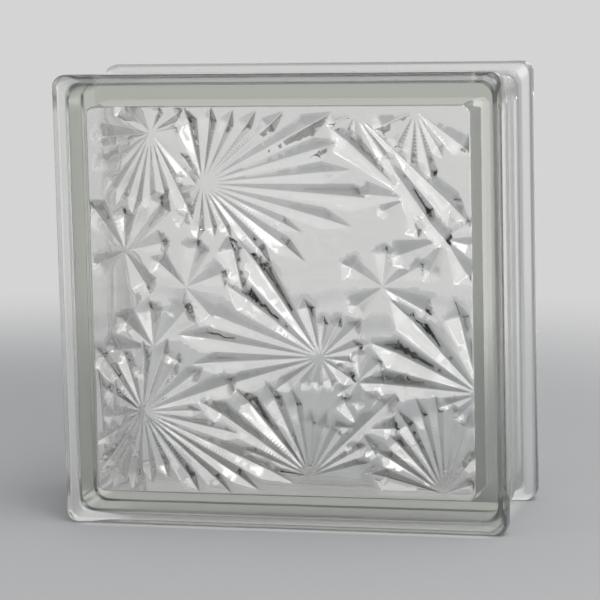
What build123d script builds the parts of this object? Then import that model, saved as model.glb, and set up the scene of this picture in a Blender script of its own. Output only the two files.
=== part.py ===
"""Hollow glass block, 190 x 190 x 80 mm: two pressed glass halves, fused together at a seam round the middle of the
edges. Each half is a dish: a face plate with a thick rim, and four side walls set back behind the rim. Pressed stars
stand on the inner side of the front plate. The front face looks along -Y, and the block stands on its lower edge, Z = 0."""

import os
from math import atan2, cos, degrees, hypot, radians, sin, tan

from build123d import *

# Overall sizes of the block
width = 190.0
height = 190.0
depth = 80.0
corner_radius = 5.0

# Rim round each face plate, with a back that slopes down to the wall, and the mortar channel between the two rims
rim_depth = 9.0
rim_slope_depth = 2.4
rim_front_radius = 2.4
rim_back_radius = 1.8
channel_depth = 5.0
channel_corner_radius = 6.0
channel_fillet = 3.0

# Fused seam: a low rounded bead round the middle of the edges
bead_height = 1.0
bead_half_width = 2.8
bead_radius = 0.9

# Face plate, walls and the sealed hollow behind them
plate_thickness = 7.0
wall_thickness = 7.0
wall_draft = 2.5
hollow_corner_radius = 5.0
hollow_fillet = 0.7

# Pressed rays: each is a ridge that widens from its star to a shoulder and then runs out to a point
ridge_slope = 33.0
ridge_shoulder = 0.8
ridge_widest = 6.5
ridge_spread = 20.0
valley_width = 0.4

# Low boss where the rays of a star meet
boss_radius = 2.0
boss_height = 0.6
boss_taper = 45.0

# The stars as drawn on a square face, seen from outside: each star's place, across and up from the middle of the
# face, and then each of its rays, as its direction in degrees and its length
drawn_size = 163.0
stars = [
    ((-53.5, 70.5), [(8, 13), (34, 18), (70, 12), (135, 20), (185, 26), (212, 30), (230, 34), (243, 35), (255, 36),
                     (267, 37), (281, 31), (295, 42), (311, 30)]),
    ((-31.5, 49.5), [(5, 64), (16, 64), (27.6, 64), (40, 47), (52, 39), (66, 34), (83, 33), (103, 33), (126, 16),
                     (166, 12), (202, 14), (240, 22), (262, 24), (281, 23), (297, 26), (310, 45), (323, 54),
                     (334, 47), (344, 66), (355, 80)]),
    ((55.5, 43.5), [(118, 22), (138, 44), (176, 22), (206, 15), (283, 17), (310, 27)]),
    ((34, 78), [(200, 13), (240, 16), (268, 14), (304, 62), (316, 66)]),
    ((59, 79), [(203, 20), (238, 20), (262, 26), (282, 32), (300, 22), (322, 29)]),
    ((70.5, 27), [(33, 14), (80, 20), (143, 18), (200, 26), (243, 20), (300, 22), (345, 13)]),
    ((-66, 21), [(12, 20), (54, 32), (92, 19), (128, 27), (205, 17), (300, 20)]),
    ((17, -22.5), [(16, 20), (41, 24), (62, 20), (84, 18), (105, 26), (125, 60), (143, 50), (160, 58), (172, 62),
                   (184, 56), (197, 44), (216, 24), (238, 16), (262, 14), (290, 14), (325, 19), (352, 15)]),
    ((-60.5, -47), [(18, 48), (36, 34), (54, 28), (70, 34), (88, 30), (108, 32), (127, 36), (150, 22), (190, 20),
                    (214, 26), (233, 32), (247, 36), (261, 34), (275, 30), (290, 30), (305, 42), (318, 52),
                    (327, 60), (336, 72), (348, 46), (2, 26)]),
    ((11.5, -72.5), [(14, 26), (29, 30), (43, 56), (58, 28), (74, 28), (88, 28), (101, 38), (115, 44), (131, 49),
                     (147, 58), (160, 32), (174, 18)]),
    ((83.5, -36.5), [(88, 30), (104, 40), (133.5, 53), (155.5, 49), (176, 51), (200, 18), (228, 15)]),
    ((68.5, -78.5), [(20, 14), (52, 24), (72, 38), (84, 43), (95, 43), (106, 42), (119, 40), (134, 36), (149, 34),
                     (166, 32)]),
    ((33.5, -31.5), [(40, 13), (95, 14), (150, 12), (215, 12), (265, 13), (318, 14), (349, 24)]),
    ((-77.5, -72), [(52, 20), (70, 30), (82, 42), (93, 44)]),
    ((-55, -19.5), [(48, 26), (95, 20), (140, 20), (185, 22), (235, 16), (330, 14)]),
    ((-40, 6), [(20, 20), (75, 22), (140, 20), (250, 16), (310, 20)]),
    ((44, 7), [(28, 22), (85, 18), (150, 20), (215, 18), (330, 24)]),
    ((-14, -4), [(103, 33)]),
    ((33, -52), [(60, 18), (120, 16), (180, 12), (240, 12), (300, 14), (0, 18)]),
]

# Sizes that follow from these
wall_width = width - 2 * channel_depth
wall_height = height - 2 * channel_depth
rim_back = depth / 2 - rim_depth
wall_reach = rim_back - rim_slope_depth
hollow_width = wall_width - 2 * wall_thickness
hollow_height = wall_height - 2 * wall_thickness
hollow_depth = depth / 2 - plate_thickness
draft_inset = hollow_depth * tan(radians(wall_draft))
across_scale = (hollow_width - 2 * draft_inset) / drawn_size
up_scale = (hollow_height - 2 * draft_inset) / drawn_size


def face_plane(distance):
    """The plane this far in front of the seam: X runs across the face, Y runs up, and its normal points forward."""
    return Plane(origin=(0, -distance, height / 2), x_dir=(1, 0, 0), z_dir=(0, -1, 0))


def edges_at(body, distance):
    """The edges of a body that lie wholly this far in front of the seam."""
    return body.edges().filter_by_position(Axis.Y, -distance - 0.001, -distance + 0.001)


def spread_rays(rays):
    """The rays of one star on the real face, by direction: (direction, length, room to the next ray on each side)."""
    real = []
    for direction, length in rays:
        across = length * cos(radians(direction)) * across_scale
        up = length * sin(radians(direction)) * up_scale
        real.append((degrees(atan2(up, across)) % 360, hypot(across, up)))
    real.sort()
    spread = []
    for place, (direction, length) in enumerate(real):
        right_room = ((direction - real[place - 1][0]) % 360 or 360) / 2
        left_room = ((real[(place + 1) % len(real)][0] - direction) % 360 or 360) / 2
        spread.append((direction, length, min(right_room, ridge_spread), min(left_room, ridge_spread)))
    return spread


def ray_ridge(across, up, direction, length, right_room, left_room):
    """One ray of a star: a low pyramid on a kite-shaped foot, its highest point at the ray's shoulder."""
    along = Vector(cos(radians(direction)), sin(radians(direction)))
    sideways = Vector(-along.Y, along.X)
    star = Vector(across, up)
    shoulder = length * ridge_shoulder
    right = min(shoulder * tan(radians(right_room)) - valley_width / 2, ridge_widest)
    left = min(shoulder * tan(radians(left_room)) - valley_width / 2, ridge_widest)
    top = star + along * shoulder
    plane = face_plane(hollow_depth)
    with BuildSketch(plane, mode=Mode.PRIVATE) as foot:
        with BuildLine():
            Polyline(star, top - sideways * right, star + along * length, top + sideways * left, close=True)
        make_face()
    rise = min(right, left, length - shoulder) * tan(radians(ridge_slope))
    peak = Vertex(plane.from_local_coords(top - Vector(0, 0, rise)))
    return loft(sections=[foot.sketch, peak], mode=Mode.PRIVATE)


def star_boss(across, up):
    """The low tapered boss in the middle of a star."""
    plane = face_plane(hollow_depth)
    middle = plane.from_local_coords(Vector(across, up))
    with BuildSketch(Plane(origin=middle, x_dir=plane.x_dir, z_dir=-plane.z_dir), mode=Mode.PRIVATE) as foot:
        Circle(boss_radius)
    return extrude(foot.sketch, amount=boss_height, taper=boss_taper, mode=Mode.PRIVATE)


# The sealed hollow of one half, from the seam to the face plate
with BuildPart() as hollow:
    with BuildSketch(face_plane(0)):
        RectangleRounded(hollow_width, hollow_height, hollow_corner_radius)
    extrude(amount=hollow_depth, taper=wall_draft)
    fillet(hollow.faces().sort_by(Axis.Y)[0].edges(), hollow_fillet)

# The pressed stars, kept inside the outline of the hollow
with BuildPart() as relief:
    pressed = []
    for (drawn_across, drawn_up), drawn_rays in stars:
        star = (drawn_across * across_scale, drawn_up * up_scale)
        for ray in spread_rays(drawn_rays):
            pressed.append(ray_ridge(*star, *ray))
        pressed.append(star_boss(*star))
    add(pressed)
    with BuildSketch(face_plane(0)):
        RectangleRounded(hollow_width, hollow_height, hollow_corner_radius)
    extrude(amount=depth / 2, mode=Mode.INTERSECT)

# One pressed dish: rim and face plate, walls and seam bead, with the hollow cut out
with BuildPart() as dish:
    with BuildSketch(face_plane(depth / 2)):
        RectangleRounded(width, height, corner_radius)
    extrude(amount=-rim_depth)
    with BuildSketch(face_plane(rim_back)):
        RectangleRounded(width, height, corner_radius)
    with BuildSketch(face_plane(wall_reach)):
        RectangleRounded(wall_width, wall_height, channel_corner_radius)
    loft(ruled=True)
    with BuildSketch(face_plane(0)):
        RectangleRounded(wall_width, wall_height, channel_corner_radius)
    extrude(amount=wall_reach)
    fillet(dish.faces().sort_by(Axis.Y)[0].edges(), rim_front_radius)
    fillet(edges_at(dish, rim_back), rim_back_radius)
    fillet(edges_at(dish, wall_reach), channel_fillet)
    with BuildSketch(face_plane(0)):
        RectangleRounded(wall_width + 2 * bead_height, wall_height + 2 * bead_height,
                         channel_corner_radius + bead_height)
    extrude(amount=bead_half_width)
    bead_front = dish.faces().filter_by(Axis.Y).sort_by(Axis.Y)[-2]
    fillet(bead_front.outer_wire().edges(), bead_radius)
    add(hollow.part, mode=Mode.SUBTRACT)

# Front half: the dish, with the stars left standing on its plate
with BuildPart() as front_half:
    add(dish.part)
    add(relief.part)

# Back half: a dish with a plain plate, turned to face the front one
with BuildPart() as back_half:
    add(dish.part, rotation=(0, 0, 180))

front_half.part.label = "front_half"
back_half.part.label = "back_half"

os.makedirs("parts", exist_ok=True)
export_step(front_half.part, "parts/front_half.step")
export_step(back_half.part, "parts/back_half.step")
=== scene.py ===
"""The looks of a hollow glass block: two pressed halves fused into one body of clear glass, with stars of
ridges standing on the inner side of the front plate. It stands on pale paper in a pale room."""

from collections import namedtuple
from functools import partial
from itertools import product
from math import atan2, ceil, cos, hypot, pi, radians, sin, tan

import bpy
import numpy as np
from mathutils import Matrix, Vector
from mathutils.geometry import delaunay_2d_cdt


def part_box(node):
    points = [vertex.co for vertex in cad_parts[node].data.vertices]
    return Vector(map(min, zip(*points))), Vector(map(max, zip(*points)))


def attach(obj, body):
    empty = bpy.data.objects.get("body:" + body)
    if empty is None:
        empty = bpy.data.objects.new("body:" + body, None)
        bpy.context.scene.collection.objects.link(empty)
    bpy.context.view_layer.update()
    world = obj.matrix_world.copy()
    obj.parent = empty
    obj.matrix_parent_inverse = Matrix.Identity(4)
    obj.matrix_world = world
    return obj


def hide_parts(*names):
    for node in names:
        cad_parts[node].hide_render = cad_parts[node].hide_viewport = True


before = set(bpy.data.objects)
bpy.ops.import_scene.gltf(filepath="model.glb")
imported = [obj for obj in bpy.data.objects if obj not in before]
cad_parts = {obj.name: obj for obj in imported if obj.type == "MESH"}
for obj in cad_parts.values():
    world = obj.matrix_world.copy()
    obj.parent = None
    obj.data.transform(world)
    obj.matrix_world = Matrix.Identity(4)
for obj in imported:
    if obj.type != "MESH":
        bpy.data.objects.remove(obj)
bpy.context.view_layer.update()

# Each half is worked out in millimetres round the middle of the block, and becomes metres in its mesh
MM = 0.001
low, high = (np.array(corner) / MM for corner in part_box("front_half"))
width, half_depth, height = high - low
middle = Vector((0, 0, height / 2 * MM))

# Rim, mortar channel and walls, as the part has them
corner_radius = 5.0
rim_depth = 9.0
rim_slope_depth = 2.4
rim_front_radius = 2.4
rim_back_radius = 1.8
channel_depth = 5.0
channel_corner_radius = 6.0
channel_fillet = 3.0
plate_thickness = 7.0
wall_thickness = 7.0
wall_draft = radians(2.5)
hollow_corner_radius = 5.0
hollow_fillet = 0.7

# Ridges that reach the wall run on up it, and are gone at this level
lift_ends = -18.0

# The fused seam: a rounded bead, and a lower bead inside. Points of the two halves this close become one
bead_height = 1.0
bead_reach = 2.6
bead_sharpness = 4
inner_bead_height = 0.3
inner_bead_reach = 2.2
seam_reach = 0.005

# Pressed rays, as the part has them, and the softness that the hot glass gives their crests and valleys.
# A crest is lower by this share of its softness
ridge_slope = radians(33)
ridge_shoulder = 0.8
ridge_widest = 6.5
ridge_spread = radians(20)
valley_width = 0.4
ridge_softness = 0.3
crest_loss = 0.6
valley_softness = 0.3

# What is left of the boss in the middle of each star
boss_radius = 1.0
boss_height = 0.3

# Slow waves on the inner side of the back plate, and a slight ripple over the stars of the front one.
# Each runs one way and is bent by a wave across it: (length over 2 pi, strength of the bend, length of
# the bend over 2 pi)
wave_height = 0.12
wave_across_share = 0.5
wave_length = 14.0
wave_up = (wave_length / (2 * pi), 1.5, 17)
wave_across = (wave_length / (2 * pi), 2.1, 13)
ripple_height = 0.02
ripple_across = (4.1, 1.3, 6.3)
ripple_up = (4.7, 1.1, 5.9)

# The stars as drawn on a square face, seen from outside: each star's place, across and up from the middle
# of the face, and then each of its rays, as its direction in degrees and its length
drawn_size = 163.0
stars = [
    ((-53.5, 70.5), [(8, 13), (34, 18), (70, 12), (135, 20), (185, 26), (212, 30), (230, 34), (243, 35),
                     (255, 36), (267, 37), (281, 31), (295, 42), (311, 30)]),
    ((-31.5, 49.5), [(5, 64), (16, 64), (27.6, 64), (40, 47), (52, 39), (66, 34), (83, 33), (103, 33),
                     (126, 16), (166, 12), (202, 14), (240, 22), (262, 24), (281, 23), (297, 26), (310, 45),
                     (323, 54), (334, 47), (344, 66), (355, 80)]),
    ((55.5, 43.5), [(118, 22), (138, 44), (176, 22), (206, 15), (283, 17), (310, 27)]),
    ((34, 78), [(200, 13), (240, 16), (268, 14), (304, 62), (316, 66)]),
    ((59, 79), [(203, 20), (238, 20), (262, 26), (282, 32), (300, 22), (322, 29)]),
    ((70.5, 27), [(33, 14), (80, 20), (143, 18), (200, 26), (243, 20), (300, 22), (345, 13)]),
    ((-66, 21), [(12, 20), (54, 32), (92, 19), (128, 27), (205, 17), (300, 20)]),
    ((17, -22.5), [(16, 20), (41, 24), (62, 20), (84, 18), (105, 26), (125, 60), (143, 50), (160, 58),
                   (172, 62), (184, 56), (197, 44), (216, 24), (238, 16), (262, 14), (290, 14), (325, 19),
                   (352, 15)]),
    ((-60.5, -47), [(18, 48), (36, 34), (54, 28), (70, 34), (88, 30), (108, 32), (127, 36), (150, 22),
                    (190, 20), (214, 26), (233, 32), (247, 36), (261, 34), (275, 30), (290, 30), (305, 42),
                    (318, 52), (327, 60), (336, 72), (348, 46), (2, 26)]),
    ((11.5, -72.5), [(14, 26), (29, 30), (43, 56), (58, 28), (74, 28), (88, 28), (101, 38), (115, 44),
                     (131, 49), (147, 58), (160, 32), (174, 18)]),
    ((83.5, -36.5), [(88, 30), (104, 40), (133.5, 53), (155.5, 49), (176, 51), (200, 18), (228, 15)]),
    ((68.5, -78.5), [(20, 14), (52, 24), (72, 38), (84, 43), (95, 43), (106, 42), (119, 40), (134, 36),
                     (149, 34), (166, 32)]),
    ((33.5, -31.5), [(40, 13), (95, 14), (150, 12), (215, 12), (265, 13), (318, 14), (349, 24)]),
    ((-77.5, -72), [(52, 20), (70, 30), (82, 42), (93, 44)]),
    ((-55, -19.5), [(48, 26), (95, 20), (140, 20), (185, 22), (235, 16), (330, 14)]),
    ((-40, 6), [(20, 20), (75, 22), (140, 20), (250, 16), (310, 20)]),
    ((44, 7), [(28, 22), (85, 18), (150, 20), (215, 18), (330, 24)]),
    ((-14, -4), [(103, 33)]),
    ((33, -52), [(60, 18), (120, 16), (180, 12), (240, 12), (300, 14), (0, 18)]),
]

# A ray on the real face, with the widths of its foot to the right and left at its shoulder, and its
# height there
Ray = namedtuple("Ray", "star direction length right left rise")

# How finely the rings of the half are laid out: steps round a ring, rows over each arc of the section,
# and the levels of the rings on the straight stretches, from the seam
outer_side_steps = 26
outer_corner_steps = 8
inner_side_steps = 110
inner_corner_steps = 10
front_arc_rows = 8
back_arc_rows = 6
hollow_arc_rows = 6
outer_levels = [-22, -16, -10, -6, -4.4, -3.8, -3.4, -3, -2.7, -2.4, -2.1, -1.8, -1.5, -1.2, -0.9, -0.6,
                -0.3, 0]
hollow_levels = [-26, -22, -17, -12, -8, -5, -3.5, -2.4, -1.6, -0.9, -0.4, 0]

# How finely the ridges are laid out: rows of points along each one, at these distances from its crest, at
# its foot and just past it, and across its shoulder. A point far under another ridge is left out
ridge_step = 1.5
ridge_rows = (0.0, 0.35)
past_foot = 0.4
shoulder_step = 0.6
hidden_depth = 0.45
closest_points = 0.26

# Points on the lines where two ridges meet: the step of the grid that they are found from, how many steps
# away a line is looked for, their gap in steps, the least height of a line, and how well the two ridges
# have to agree
meeting_step = 0.8
meeting_reach = 0.75
meeting_gap = 0.7
meeting_height = 0.12
meeting_miss = 0.05
least_steepness = 1e-9

# The loose field between the ridges, with its lines and its gaps as shares of its step, and how far
# points of the ridges and of the field keep inside the edge of the plate
field_step = 2.0
field_line_share = 0.866
field_gap_share = 0.6
ridge_margin = 0.4
field_margin = 0.3

# How far points are moved to find a slope: of a section or a ridge, and of the plate for its normals
nudge = 0.01
normal_nudge = 0.04

# Clear glass, with a green that comes from its depth, and slow ripples of its skin with a share of finer
# ones
glass_index = 1.52
glass_green = (0.49, 0.515, 0.43, 1)
glass_density = 12.0
fine_share = 0.16

# The pressed edges are slightly satin and frosted beside the polished faces. They start over the walls, as
# metres from the middle of the face, end where the faces start, as metres from the seam, and the frost
# ends short of the outermost edge
edge_satin = 0.2
edge_frost = 0.25
frost_white = (0.9, 0.92, 0.91, 1)
edge_start = (0.0865, 0.0885)
edge_end = (0.0368, 0.0384)
frost_end = (0.0932, 0.0944)

# The paper: its fade into the room, in metres from a point beside the block, its place of painted light
# under the block, in metres aside and from the seam, where a lighter colour stands in for the light that the
# glass lets through, and the share of the room's light that it shows through glass, left and right
paper_grey = (0.52, 0.53, 0.545, 1)
# Painted light under the block: a lighter colour that stands in for the light the glass lets through
paper_painted_light = (0.95, 0.95, 0.95, 1)
paper_middle = (-0.15, -0.04, 0)
paper_fade = (0.33, 0.75)
painted_light_aside = (0.084, 0.092)
painted_light_depth = (0.037, 0.045)
paper_glow = (0.5, 0.0)
glow_spread = (-0.16, 0.02)

# The levels of the pale room, and the directions between which each one sets in
room_level = 0.66
room_light = 0.5
room_right = 0.95
right_spread = (-0.15, 0.15)
room_left = 0.45
left_spread = (-0.65, -0.35)
room_above = 1.2
above_spread = (-0.03, 0.2)
room_ceiling = 0.2
ceiling_spread = (0.4, 0.65)
room_window = 0.6
window_across = ((-0.17, -0.11), (-0.1, -0.04))
window_up = ((-0.04, 0.02), (0.05, 0.11))

# Sizes that follow
outer_half = (width / 2, height / 2)
wall_half = tuple(half - channel_depth for half in outer_half)
hollow_half = tuple(half - wall_thickness for half in wall_half)
hollow_depth = half_depth - plate_thickness
draft_inset = hollow_depth * tan(wall_draft)
drawn_scale = tuple(2 * (half - draft_inset) / drawn_size for half in hollow_half)

# The hollow's fillet: it leaves the flat of the plate at flat_half and meets the drafted wall
fillet_turn = pi / 2 - wall_draft
fillet_out = hollow_fillet / cos(wall_draft)
fillet_level = -hollow_depth + hollow_fillet
flat_inset = -(fillet_level * tan(wall_draft)) + fillet_out
flat_half = tuple(half - flat_inset for half in hollow_half)
flat_radius = hollow_corner_radius - flat_inset


def rounded_ring(half, radius, side_steps, corner_steps):
    """Points round a rounded rectangle, counter-clockwise from its lower right corner, with their outward
    directions. Returns two arrays of (across, up)."""
    points, outward = [], []
    corners = [(1, -1, -90), (1, 1, 0), (-1, 1, 90), (-1, -1, 180)]
    for place, (side, level, start) in enumerate(corners):
        centre = np.array([side * (half[0] - radius), level * (half[1] - radius)])
        angles = np.radians(start + np.linspace(0, 90, corner_steps + 1))
        arc = np.stack([np.cos(angles), np.sin(angles)], 1)
        points.append(centre + radius * arc)
        outward.append(arc)
        next_side, next_level, _ = corners[(place + 1) % 4]
        next_centre = np.array([next_side * (half[0] - radius), next_level * (half[1] - radius)])
        target = next_centre + radius * arc[-1]
        along = np.linspace(0, 1, side_steps + 1)[1:-1, None]
        points.append(points[-1][-1] * (1 - along) + target * along)
        outward.append(np.repeat(arc[-1:], side_steps - 1, axis=0))
    return np.concatenate(points), np.concatenate(outward)


def seam_bead(level):
    """How far the seam's bead stands out from the wall at a level."""
    return bead_height * np.exp(-(abs(level) / bead_reach) ** bead_sharpness)


def hollow_wall(level):
    """How far the hollow's wall stands out from its half size at the seam, at a level."""
    return level * tan(wall_draft) - inner_bead_height * np.exp(-(level / inner_bead_reach) ** 2)


def slope_at(section, level):
    """How fast a section runs outwards at a level."""
    return (section(level + nudge) - section(level - nudge)) / (2 * nudge)


def section_arc(out, level, radius, turns):
    """An arc of the outer section, as (distance out, level, turn), from its distance out and its level at
    turn 0. A hollow arc has a negative radius."""
    return [(out - radius * (1 - cos(turn)), level + radius * sin(turn), turn) for turn in turns]


def outer_profile():
    """The half's outer section, from the edge of its face to the seam, as (distance out from the wall's
    face, level, corner radius, normal). Levels run from the seam, and the face is at -half_depth."""
    slope_turn = atan2(channel_depth, rim_slope_depth)
    flank_end = -half_depth + rim_depth - rim_back_radius * tan(slope_turn / 2)
    wall_start = -half_depth + rim_depth + rim_slope_depth + channel_fillet * tan(slope_turn / 2)
    front_turns = np.linspace(-pi / 2, 0, front_arc_rows)
    back_turns = np.linspace(0, slope_turn, back_arc_rows)
    arcs = section_arc(channel_depth, rim_front_radius - half_depth, rim_front_radius, front_turns)
    arcs += section_arc(channel_depth, flank_end, rim_back_radius, back_turns)
    arcs += section_arc(0, wall_start, -channel_fillet, np.flip(back_turns))
    inward = (corner_radius - channel_corner_radius) / channel_depth
    rows = []
    for out, level, turn in arcs:
        rows.append((out, level, channel_corner_radius + out * inward, (cos(turn), sin(turn))))
    for level in outer_levels:
        out = seam_bead(level)
        slope = slope_at(seam_bead, level)
        normal = (1 / hypot(1, slope), -slope / hypot(1, slope))
        rows.append((out, level, channel_corner_radius + out, normal))
    return rows


def hollow_profile():
    """The hollow's section, from its fillet to the seam, as (distance out from its half size at the seam,
    level, normal)."""
    rows = []
    for turn in np.linspace(0, fillet_turn, hollow_arc_rows)[1:]:
        level = fillet_level - hollow_fillet * cos(turn)
        rows.append((hollow_fillet * sin(turn) - flat_inset, level, (-sin(turn), cos(turn))))
    for level in hollow_levels:
        slope = slope_at(hollow_wall, level)
        rows.append((hollow_wall(level), level, (-1 / hypot(1, slope), slope / hypot(1, slope))))
    return rows


def real_rays():
    """All the rays on the real face."""
    rays = []
    for (drawn_across, drawn_up), drawn in stars:
        star = np.array([drawn_across * drawn_scale[0], drawn_up * drawn_scale[1]])
        tips = []
        for direction, length in drawn:
            across = length * cos(radians(direction)) * drawn_scale[0]
            up = length * sin(radians(direction)) * drawn_scale[1]
            tips.append((atan2(up, across) % (2 * pi), hypot(across, up)))
        tips.sort()
        for place, (direction, length) in enumerate(tips):
            right_room = ((direction - tips[place - 1][0]) % (2 * pi) or 2 * pi) / 2
            left_room = ((tips[(place + 1) % len(tips)][0] - direction) % (2 * pi) or 2 * pi) / 2
            shoulder = length * ridge_shoulder
            right = min(shoulder * tan(min(right_room, ridge_spread)) - valley_width / 2, ridge_widest)
            left = min(shoulder * tan(min(left_room, ridge_spread)) - valley_width / 2, ridge_widest)
            rise = min(right, left, length - shoulder) * tan(ridge_slope)
            rays.append(Ray(star, direction, length, right, left, rise))
    return rays


def ray_directions(ray):
    """Unit vectors along a ray and to its left."""
    run = np.array([cos(ray.direction), sin(ray.direction)])
    return run, np.array([-run[1], run[0]])


def ray_height(points, ray):
    """The height over the plate of one ray's ridge at points on the face."""
    run, sideways = ray_directions(ray)
    along = (points - ray.star) @ run
    across = (points - ray.star) @ sideways
    shoulder = ray.length * ridge_shoulder
    spine = np.minimum(along / shoulder, (ray.length - along) / (ray.length - shoulder))
    side = np.where(across > 0, ray.left, ray.right)
    softened = np.sqrt(across * across + ridge_softness ** 2) - ridge_softness * crest_loss
    return ray.rise * (spine - softened / side)


def ray_heights(points, rays):
    """The height of each ray's ridge at each point, by ray and point."""
    return np.stack([ray_height(points, ray) for ray in rays])


def soft_max(first, second, softness):
    """The larger of two heights, rounded over where they meet."""
    blend = np.maximum(softness - np.abs(first - second), 0)
    return np.maximum(first, second) + blend * blend / (4 * softness)


def bent_wave(along, aside, run, bend, bend_run):
    """A wave along one direction, bent by a wave across it."""
    return np.sin(along / run + bend * np.sin(aside / bend_run))


def plate_height(points, rays):
    """The height over the plate of all the rays together at points on the face. A plate without rays has
    slow waves."""
    across, up = points.T
    if not rays:
        waves = bent_wave(up, across, *wave_up) + wave_across_share * bent_wave(across, up, *wave_across)
        return wave_height * waves
    raised = np.zeros(len(points))
    for ray in rays:
        raised = soft_max(raised, ray_height(points, ray), valley_softness)
    for star in dict.fromkeys(tuple(ray.star) for ray in rays):
        away = np.hypot(*(points - star).T)
        raised = soft_max(raised, np.minimum(boss_radius - away, boss_height), valley_softness)
    ripple = bent_wave(across, up, *ripple_across) + bent_wave(up, across, *ripple_up)
    return raised + ripple_height * ripple


def plate_normals(points, rays):
    """Unit normals of the plate's inner side, pointing into the hollow, as (across, depth, up)."""
    slopes = []
    for shift in normal_nudge * np.eye(2):
        rise = plate_height(points + shift, rays) - plate_height(points - shift, rays)
        slopes.append(rise / (2 * normal_nudge))
    normals = np.stack([-slopes[0], np.ones(len(points)), -slopes[1]], 1)
    return normals / np.linalg.norm(normals, axis=1)[:, None]


def past_flat(points):
    """How far points lie outside the flat of the plate."""
    reach = np.abs(points) - (np.array(flat_half) - flat_radius)
    outside = np.hypot(*np.maximum(reach, 0).T)
    return outside + np.minimum(reach.max(1), 0) - flat_radius


def thin_out(candidates, spacing):
    """The candidates, in order, that no earlier one is too close to. No gap is wider than the spacing."""
    kept = []
    cells = {}
    for across, up, gap in candidates:
        column, line = int(across // spacing), int(up // spacing)
        near = []
        for cell in product((column - 1, column, column + 1), (line - 1, line, line + 1)):
            near += cells.get(cell, [])
        if all((across - x) ** 2 + (up - y) ** 2 >= gap * gap for x, y in near):
            cells.setdefault((column, line), []).append((across, up))
            kept.append((across, up))
    return kept


def ridge_meetings(rays):
    """Points on the lines where two ridges cut into each other, found from a grid by a step towards the
    nearest line."""
    across, up = (np.arange(-half, half, meeting_step) for half in flat_half)
    grid = np.stack(np.meshgrid(across, up), -1).reshape(-1, 2)
    heights = ray_heights(grid, rays)
    pair = np.argsort(heights, axis=0)[-2:]
    number = np.arange(len(grid))

    def lead(raised):
        return raised[pair[1], number] - raised[pair[0], number]

    here = lead(heights)
    slopes = [(lead(ray_heights(grid + shift, rays)) - here) / nudge for shift in nudge * np.eye(2)]
    slope = np.stack(slopes, 1)
    steepness = np.maximum((slope * slope).sum(1), least_steepness)
    near = here / np.sqrt(steepness) < meeting_step * meeting_reach
    found = (grid - slope * (here / steepness)[:, None])[near]
    heights = ray_heights(found, rays)
    order = np.argsort(heights, axis=0)[-2:]
    same = (np.sort(order, axis=0) == np.sort(pair[:, near], axis=0)).all(0)
    second, highest = np.sort(heights, axis=0)[-2:]
    return found[same & (second > meeting_height) & (highest - second < meeting_miss)]


def ridge_points(rays):
    """Points on the ridges, the most wanted ones first: on their crests, on the lines where they meet,
    and then on their sides and feet. Each is (across, up, gap to its neighbours)."""
    rows = []
    for number, ray in enumerate(rays):
        run, sideways = ray_directions(ray)
        shoulder = ray.length * ridge_shoulder
        rising = np.linspace(0, shoulder, ceil(shoulder / ridge_step) + 1)[:-1]
        falling = np.linspace(shoulder, ray.length, ceil((ray.length - shoulder) / ridge_step) + 1)
        for along in (*rising, *falling):
            share = min(along / shoulder, (ray.length - along) / (ray.length - shoulder))
            for side, foot in ((1, ray.left * share), (-1, ray.right * share)):
                offsets = [row for row in ridge_rows if row < foot - closest_points]
                offsets += [foot, foot + past_foot]
                if share == 1:
                    offsets += list(np.arange(ridge_rows[-1], foot, shoulder_step)[1:])
                for offset in offsets:
                    rows.append((*(ray.star + run * along + sideways * side * offset), number, offset))
    table = np.array(rows)
    points = table[:, :2]
    offset = table[:, 3]
    heights = ray_heights(points, rays)
    own = heights[table[:, 2].astype(int), np.arange(len(points))]
    wanted = (own > np.maximum(heights.max(0), 0) - hidden_depth) & (past_flat(points) < -ridge_margin)
    meetings = ridge_meetings(rays)
    meetings = meetings[past_flat(meetings) < -ridge_margin]
    crests = [(*point, closest_points) for point in points[wanted & (offset == 0)]]
    valleys = [(*point, meeting_step * meeting_gap) for point in meetings]
    sides = [(*point, closest_points) for point in points[wanted & (offset > 0)]]
    return crests + valleys + sides


def field_layout(rays, boundary):
    """Lays out the plate's mesh: its boundary, the points on its ridges and a loose field between them.
    Returns the points, boundary first, and the triangles."""
    field = []
    lines = np.arange(-flat_half[1], flat_half[1], field_step * field_line_share)
    for line, up in enumerate(lines, 1):
        for across in np.arange(-flat_half[0] + (line % 2) * field_step / 2, flat_half[0], field_step):
            field.append((across, up, field_step * field_gap_share))
    edge = [(*point, 0.0) for point in boundary]
    on_ridges = ridge_points(rays) if rays else []
    points = np.array(thin_out(edge + on_ridges + field, field_step * field_gap_share))
    inside = past_flat(points) < -field_margin
    inside[:len(boundary)] = True
    corners = [Vector(point) for point in points[inside]]
    loop = [(i, (i + 1) % len(boundary)) for i in range(len(boundary))]
    inside_loop, closeness = 1, 1e-5
    laid, _, triangles, *_ = delaunay_2d_cdt(corners, loop, [], inside_loop, closeness)
    return np.array([tuple(point) for point in laid]), triangles


def ring_normals(outward, normal):
    """The normals of a ring, from its outward directions and the normal of the section there."""
    across, up = normal[0] * outward.T
    return np.stack([across, np.full(len(outward), normal[1]), up], 1)


def ring_faces(first, second, count, flip=False):
    """Quads between two rings of points that start at two indices."""
    faces = []
    for i in range(count):
        j = (i + 1) % count
        quad = (first + i, first + j, second + j, second + i)
        faces.append(quad[::-1] if flip else quad)
    return faces


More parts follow.
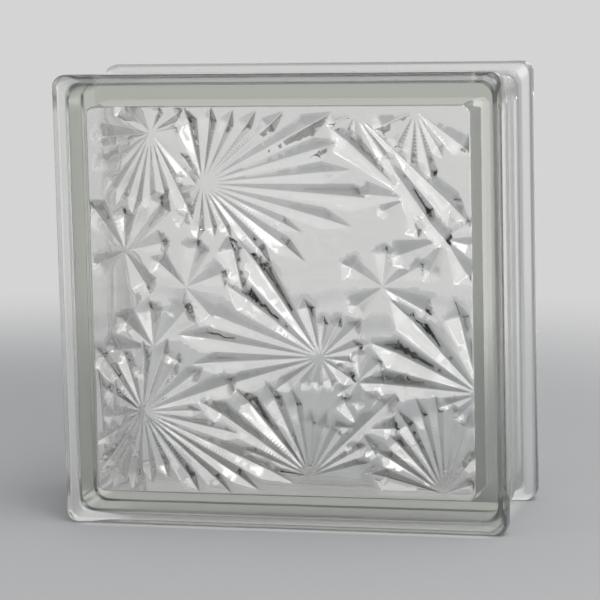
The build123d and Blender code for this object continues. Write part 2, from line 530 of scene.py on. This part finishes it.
def half_mesh(rays):
    """A pressed half that looks forward, open at the seam: its outer skin and the surface of its hollow,
    with the rays on its plate."""
    places, normals, faces = [], [], []

    def add_points(new_places, new_normals):
        places.append(new_places)
        normals.append(new_normals)
        return sum(len(batch) for batch in places) - len(new_places)

    start = None
    for out, level, radius, normal in outer_profile():
        half = tuple(side + out for side in wall_half)
        ring, outward = rounded_ring(half, radius, outer_side_steps, outer_corner_steps)
        begin = add_points(np.insert(ring, 1, level, axis=1), ring_normals(outward, normal))
        if start is None:
            faces.append(tuple(range(begin, begin + len(ring))))
        else:
            faces += ring_faces(start, begin, len(ring), flip=True)
        start = begin

    boundary, _ = rounded_ring(flat_half, flat_radius, inner_side_steps, inner_corner_steps)
    layout, triangles = field_layout(rays, boundary)
    lifts = plate_height(layout, rays)
    start = add_points(np.insert(layout, 1, lifts - hollow_depth, axis=1), plate_normals(layout, rays))
    faces += [tuple(start + i for i in reversed(face)) for face in triangles]

    lift = lifts[:len(boundary)]
    reach = np.hypot(*(np.roll(boundary, -1, axis=0) - np.roll(boundary, 1, axis=0)).T)
    slope_along = (np.roll(lift, -1) - np.roll(lift, 1)) / reach
    for out, level, normal in hollow_profile():
        half = tuple(side + out for side in hollow_half)
        ring, outward = rounded_ring(half, hollow_corner_radius + out, inner_side_steps, inner_corner_steps)
        share = np.clip((lift_ends - level) / (lift_ends + hollow_depth), 0, 1)
        along = np.stack([-outward[:, 1], np.zeros(len(ring)), outward[:, 0]], 1)
        leaning = ring_normals(outward, normal) - along * (normal[1] * share * slope_along)[:, None]
        leaning /= np.linalg.norm(leaning, axis=1)[:, None]
        begin = add_points(np.insert(ring, 1, level + share * lift, axis=1), leaning)
        faces += ring_faces(start, begin, len(ring))
        start = begin
    return np.concatenate(places), np.concatenate(normals), faces


def new_mesh(name, places, normals, faces):
    """A mesh of points in millimetres round the block's middle, which carries its true normals."""
    mesh = bpy.data.meshes.new(name)
    mesh.from_pydata((places * MM + np.array(middle)).tolist(), [], faces)
    carried = mesh.attributes.new("true_normal", "FLOAT_VECTOR", "POINT")
    carried.data.foreach_set("vector", normals.ravel())
    return mesh


class Shade:
    """A shader socket that can be used in an expression."""

    def __init__(self, tree, socket):
        self.tree = tree
        self.socket = socket

    def math(self, operation, other=0.0):
        node = add_node(self.tree, "ShaderNodeMath", {"operation": operation})
        for socket, value in zip(node.inputs, (self, other)):
            set_socket(self.tree, socket, value)
        return Shade(self.tree, node.outputs[0])

    def __abs__(self):
        return self.math("ABSOLUTE")

    def __add__(self, other):
        return self.math("ADD", other)

    def __mul__(self, other):
        return self.math("MULTIPLY", other)

    def __sub__(self, other):
        return self + other * -1.0

    def __rsub__(self, other):
        return self * -1.0 + other

    __radd__ = __add__
    __rmul__ = __mul__


def set_socket(tree, socket, value):
    """Gives a socket a value, or links another socket to it."""
    if isinstance(value, Shade):
        value = value.socket
    if isinstance(value, bpy.types.NodeSocket):
        tree.links.new(value, socket)
    else:
        socket.default_value = value


def add_node(tree, kind, settings=None, **sockets):
    """A new node of a kind, with its settings set first and then its sockets, by value or by link."""
    node = tree.nodes.new(kind)
    for name, value in (settings or {}).items():
        setattr(node, name, value)
    for name, value in sockets.items():
        set_socket(tree, node.inputs[name.replace("_", " ")], value)
    return node


class Finish:
    """The nodes of a material or of the room."""

    def __init__(self, holder):
        self.holder = holder
        self.holder.use_nodes = True
        self.tree = holder.node_tree
        self.tree.nodes.clear()

    def node(self, kind, settings=None, output=0, **sockets):
        """One output of a new node, by its number or name."""
        node = add_node(self.tree, kind, settings, **sockets)
        return Shade(self.tree, node.outputs[output]) if node.outputs else None

    def step(self, value, spread, first=0.0, last=1.0):
        """A value that runs smoothly from one level to another between the two ends of a spread."""
        start, end = spread
        return self.node("ShaderNodeMapRange", {"interpolation_type": "SMOOTHSTEP"}, Value=value,
                         From_Min=start, From_Max=end, To_Min=first, To_Max=last)

    def hump(self, value, rising, falling):
        """A value that runs up to 1 over one spread and back to 0 over another."""
        return self.step(value, rising) * self.step(value, falling, 1.0, 0.0)

    def blend(self, share, first, second):
        """A surface that turns from one into another as a share runs from 0 to 1."""
        blended = self.node("ShaderNodeMixShader", Fac=share)
        _, *surfaces = blended.socket.node.inputs
        for socket, surface in zip(surfaces, (first, second)):
            set_socket(self.tree, socket, surface)
        return blended

    def bent_rays(self):
        """Where the view comes by way of a reflection or through glass."""
        glossy = self.node("ShaderNodeLightPath", output="Is Glossy Ray")
        return glossy.math("MAXIMUM", self.node("ShaderNodeLightPath", output="Is Transmission Ray"))


def clear_glass():
    """Clear pressed glass: a faint green in its depth, slow ripples of the cooled skin on its surface,
    and slightly satin and frosted edges."""
    finish = Finish(bpy.data.materials.new("clear_glass"))
    place = finish.node("ShaderNodeTexCoord", output="Object")
    slow = finish.node("ShaderNodeTexNoise", Vector=place, Scale=28.0, Detail=1.0, Roughness=0.4)
    fine = finish.node("ShaderNodeTexNoise", Vector=place, Scale=110.0, Detail=1.5, Roughness=0.5)
    skin_height = slow + fine * fine_share
    ripple = finish.node("ShaderNodeBump", Strength=0.15, Distance=0.0006, Height=skin_height)
    across = finish.node("ShaderNodeSeparateXYZ", output="X", Vector=place)
    through = finish.node("ShaderNodeSeparateXYZ", output="Y", Vector=place)
    up = finish.node("ShaderNodeSeparateXYZ", output="Z", Vector=place) - middle.z
    aside = abs(across).math("MAXIMUM", abs(up))
    edges = finish.step(aside, edge_start) * finish.step(abs(through), edge_end, 1.0, 0.0)
    glass = finish.node("ShaderNodeBsdfPrincipled", Base_Color=(1, 1, 1, 1), Roughness=edges * edge_satin,
                        IOR=glass_index, Transmission_Weight=1.0, Normal=ripple)
    skin = finish.node("ShaderNodeBsdfPrincipled", Base_Color=frost_white, Roughness=0.6)
    frosted = finish.blend(edges * finish.step(aside, frost_end, edge_frost, 0.0), glass, skin)
    depth = finish.node("ShaderNodeVolumeAbsorption", Color=glass_green, Density=glass_density)
    finish.node("ShaderNodeOutputMaterial", Surface=frosted, Volume=depth)
    return finish.holder


def pale_paper():
    """Pale matt paper, which fades into the room away from the block. Right under the block it has painted
    light: a lighter colour that stands in for the light that the glass lets through to it."""
    finish = Finish(bpy.data.materials.new("paper"))
    place = finish.node("ShaderNodeTexCoord", output="Object")
    away = finish.node("ShaderNodeVectorMath", {"operation": "DISTANCE"}, output="Value", Vector=place)
    away.socket.node.inputs[1].default_value = paper_middle
    across = finish.node("ShaderNodeSeparateXYZ", output="X", Vector=place)
    through = finish.node("ShaderNodeSeparateXYZ", output="Y", Vector=place)
    # Painted light: the paper's colour is lighter right under the block, for the light that the glass lets
    # through
    under = finish.step(abs(across), painted_light_aside, 1.0, 0.0) * finish.step(abs(through), painted_light_depth, 1.0, 0.0)
    colour = finish.node("ShaderNodeMixRGB", Fac=under, Color1=paper_grey, Color2=paper_painted_light)
    sheet = finish.node("ShaderNodeBsdfPrincipled", Base_Color=colour, Roughness=0.9, Specular_IOR_Level=0.1)
    glow = finish.bent_rays() * finish.step(across, glow_spread, *paper_glow)
    fade = finish.step(away, paper_fade).math("MAXIMUM", glow)
    faded = finish.blend(fade, sheet, finish.node("ShaderNodeBsdfTransparent"))
    finish.node("ShaderNodeOutputMaterial", Surface=faded)
    return finish.holder


def fuse_halves(half, back, glass):
    """Geometry Nodes that turn the back half to face the front one, its true normals with it, and fuse
    the two at the seam. Returns the plain mesh that they make."""
    tree = bpy.data.node_groups.new("fused_halves", "GeometryNodeTree")
    inputs = {"Half": "Geometry", "Back Half": "Object", "Turn": "Float", "Seam Reach": "Float",
              "Glass": "Material"}
    for name, kind in inputs.items():
        tree.interface.new_socket(name, in_out="INPUT", socket_type="NodeSocket" + kind)
    tree.interface.new_socket("Block", in_out="OUTPUT", socket_type="NodeSocketGeometry")

    node = partial(add_node, tree)
    vectors = {"data_type": "FLOAT_VECTOR"}
    given = node("NodeGroupInput").outputs
    turn = node("ShaderNodeCombineXYZ", Z=given["Turn"]).outputs[0]
    second = node("GeometryNodeObjectInfo", Object=given["Back Half"]).outputs["Geometry"]
    turned = node("GeometryNodeTransform", Geometry=second, Rotation=turn).outputs[0]
    normal = node("GeometryNodeInputNamedAttribute", vectors, Name="true_normal").outputs[0]
    turned_normal = node("ShaderNodeVectorRotate", {"rotation_type": "Z_AXIS"}, Vector=normal,
                         Angle=given["Turn"]).outputs[0]
    facing = node("GeometryNodeStoreNamedAttribute", vectors, Geometry=turned, Name="true_normal",
                  Value=turned_normal).outputs[0]
    joined = node("GeometryNodeJoinGeometry", Geometry=given["Half"])
    tree.links.new(facing, joined.inputs[0])
    fused = node("GeometryNodeMergeByDistance", Geometry=joined.outputs[0],
                 Distance=given["Seam Reach"]).outputs[0]
    real = node("GeometryNodeRealizeInstances", Geometry=fused).outputs[0]
    finished = node("GeometryNodeSetMaterial", Geometry=real, Material=given["Glass"]).outputs[0]
    tree.links.new(finished, node("NodeGroupOutput").inputs[0])

    modifier = half.modifiers.new("fused_halves", "NODES")
    modifier.node_group = tree
    values = {"Back Half": back, "Turn": pi, "Seam Reach": seam_reach * MM, "Glass": glass}
    for item in tree.interface.items_tree:
        if item.name in values:
            modifier[item.identifier] = values[item.name]
    mesh = bpy.data.meshes.new_from_object(half.evaluated_get(bpy.context.evaluated_depsgraph_get()))
    half.modifiers.remove(modifier)
    return mesh


def glass_block():
    """The fused block, shaded with the true normals of its pressed surfaces."""
    glass = clear_glass()
    halves = []
    for name, rays in (("front", real_rays()), ("back", [])):
        half = bpy.data.objects.new(name, new_mesh(name, *half_mesh(rays)))
        half.data.materials.append(glass)
        bpy.context.scene.collection.objects.link(half)
        halves.append(half)
    mesh = fuse_halves(*halves, glass)
    for half in halves:
        bpy.data.objects.remove(half)
    carried = mesh.attributes["true_normal"]
    normals = np.empty(len(mesh.vertices) * 3)
    carried.data.foreach_get("vector", normals)
    mesh.attributes.remove(carried)
    mesh.normals_split_custom_set_from_vertices(normals.reshape(-1, 3).tolist())
    mesh.name = "glass_block"
    fused = bpy.data.objects.new("glass_block", mesh)
    bpy.context.scene.collection.objects.link(fused)
    return fused


def paper_floor():
    """The floor: one wide flat sheet."""
    reach = 2.0
    corners = [(-reach, -reach, 0), (reach, -reach, 0), (reach, reach, 0), (-reach, reach, 0)]
    mesh = bpy.data.meshes.new("paper_floor")
    mesh.from_pydata(corners, [], [(0, 1, 2, 3)])
    mesh.materials.append(pale_paper())
    sheet = bpy.data.objects.new("paper_floor", mesh)
    bpy.context.scene.collection.objects.link(sheet)


def soft_lamp(name, place, target, size, power):
    """A square soft lamp that faces a point."""
    lamp = bpy.data.lights.new(name, "AREA")
    lamp.shape = "SQUARE"
    lamp.size = size
    lamp.energy = power
    holder = bpy.data.objects.new(name, lamp)
    aim = Vector(target) - Vector(place)
    holder.matrix_world = Matrix.Translation(place) @ aim.to_track_quat("-Z", "Y").to_matrix().to_4x4()
    bpy.context.scene.collection.objects.link(holder)


def pale_room():
    """The room round the block. What is seen is evenly pale. Glass also shows the room brighter to the
    right and above, dimmer to the far left, with a dark ceiling and a bright window. Its light on the
    floor is even."""
    finish = Finish(bpy.data.worlds.new("room"))
    bpy.context.scene.world = finish.holder
    way = finish.node("ShaderNodeTexCoord", output="Generated")
    across = finish.node("ShaderNodeSeparateXYZ", output="X", Vector=way)
    up = finish.node("ShaderNodeSeparateXYZ", output="Z", Vector=way)
    through = finish.step(across, right_spread, room_level, room_right)
    through *= finish.step(across, left_spread, room_left, 1.0)
    through *= finish.step(up, above_spread, 1.0, room_above)
    through *= finish.step(up, ceiling_spread, 1.0, room_ceiling)
    through += finish.hump(across, *window_across) * finish.hump(up, *window_up) * room_window
    seen = finish.node("ShaderNodeLightPath", output="Is Camera Ray")
    bent = finish.bent_rays()
    strength = seen * room_level + bent * through + (1 - (seen + bent)) * room_light
    backdrop = finish.node("ShaderNodeBackground", Color=(1, 1, 1, 1), Strength=strength)
    finish.node("ShaderNodeOutputWorld", Surface=backdrop)


def studio_light():
    """Plain soft light: a large lamp over the block, and one in front of it on the right."""
    soft_lamp("overhead", place=(0.5, -0.2, 1.5), target=(0, 0.1, 0.1), size=0.9, power=6)
    soft_lamp("right", place=(0.9, -1.3, 0.9), target=(0, 0, 0.1), size=0.9, power=11)


def photo_camera():
    """The camera at the photograph's viewing angle, distance and lens."""
    azimuth, elevation, roll = radians(14.7), radians(8.0), radians(-1.37)
    distance, aside, above = 1.194, 0.0002, 0.0038
    frame_pixels, focal_pixels, sensor = 600, 2804, 36.0
    back = Vector((sin(azimuth) * cos(elevation), -cos(azimuth) * cos(elevation), sin(elevation)))
    level = Vector((cos(azimuth), sin(azimuth), 0))
    upright = back.cross(level)
    right = cos(roll) * level + sin(roll) * upright
    up = cos(roll) * upright - sin(roll) * level
    lens = bpy.data.cameras.new("camera")
    lens.sensor_width = sensor
    lens.lens = focal_pixels / frame_pixels * sensor
    lens.clip_end = 50
    camera = bpy.data.objects.new("camera", lens)
    turned = Matrix((right, up, back)).transposed().to_4x4()
    camera.matrix_world = Matrix.Translation(middle + back * distance - right * aside - up * above) @ turned
    bpy.context.scene.collection.objects.link(camera)
    bpy.context.scene.camera = camera


photo_camera()
block = glass_block()
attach(block, "root")
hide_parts("front_half", "back_half")
paper_floor()
pale_room()
studio_light()

bpy.context.scene.view_settings.view_transform = "Standard"
